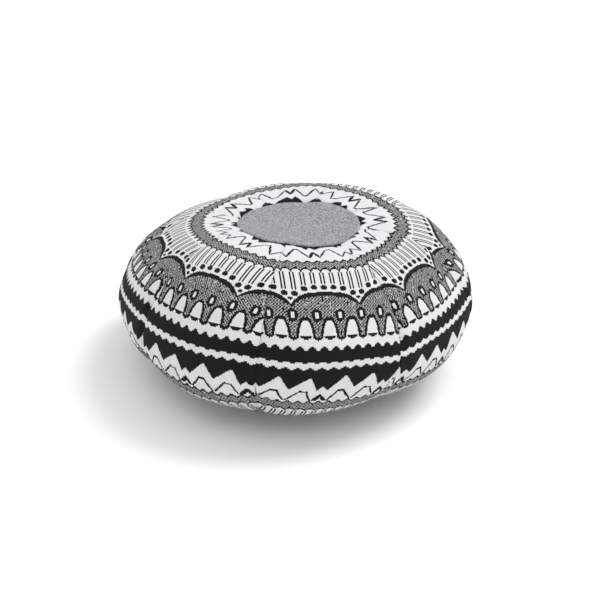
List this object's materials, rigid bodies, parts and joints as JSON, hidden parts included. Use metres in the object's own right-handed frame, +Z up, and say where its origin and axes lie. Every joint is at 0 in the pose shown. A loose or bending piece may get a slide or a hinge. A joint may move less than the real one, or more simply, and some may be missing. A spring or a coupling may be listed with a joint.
{
  "type": "knitted floor cushion",
  "caption": "Round, low floor cushion with a knitted patchwork cover of sewn gores, a plain top disc, a filled inner liner and a zipped base.",
  "frame": {"origin": "on the floor, under the centre of the cushion", "axes": "+Z up, +X along the zip towards its closed end, -Y through the middle of the first gore"},
  "size_m": [0.6, 0.6, 0.252],
  "materials": {
    "knit_pattern": "two-colour jacquard knit, off-white and black with grey twill",
    "knit_disc": "fine heather grey knit",
    "base_cloth": "plain woven black cloth",
    "liner_cloth": "undyed cotton lining",
    "filling": "beads and fibre",
    "zip_tape": "woven black tape",
    "zip_teeth": "moulded black",
    "zip_metal": "nickel-coloured, satin"
  },
  "bodies": {
    "cushion": {"top_disc": "knit_disc", "cover_gore_1": "knit_pattern", "cover_gore_2": "knit_pattern", "cover_gore_3": "knit_pattern", "cover_gore_4": "knit_pattern", "cover_gore_5": "knit_pattern", "cover_gore_6": "knit_pattern", "cover_gore_7": "knit_pattern", "cover_gore_8": "knit_pattern", "base_panel_front": "base_cloth", "base_panel_back": "base_cloth", "liner_top": "liner_cloth", "liner_side": "liner_cloth", "liner_base": "liner_cloth", "filling": "filling", "zip_tape_front": "zip_tape", "zip_tape_back": "zip_tape", "zip_teeth_front": "zip_teeth", "zip_teeth_back": "zip_teeth", "zip_end_stop_front": "zip_metal", "zip_end_stop_back": "zip_metal", "zip_start_stop": "zip_metal"},
    "slider": {"zip_slider": "zip_metal"},
    "pull": {"zip_pull_tab": "zip_metal"}
  },
  "joints": [
    {"name": "zip_slide", "type": "slide", "parent": "cushion", "child": "slider", "axis": [-1, 0, 0], "range_m": [0, 0.216]},
    {"name": "pull_tab_hinge", "type": "hinge", "parent": "slider", "child": "pull", "pos_m": [0.1092, 0, 0.00187], "axis": [0, -1, 0], "range_deg": [0, 175]}
  ]
}
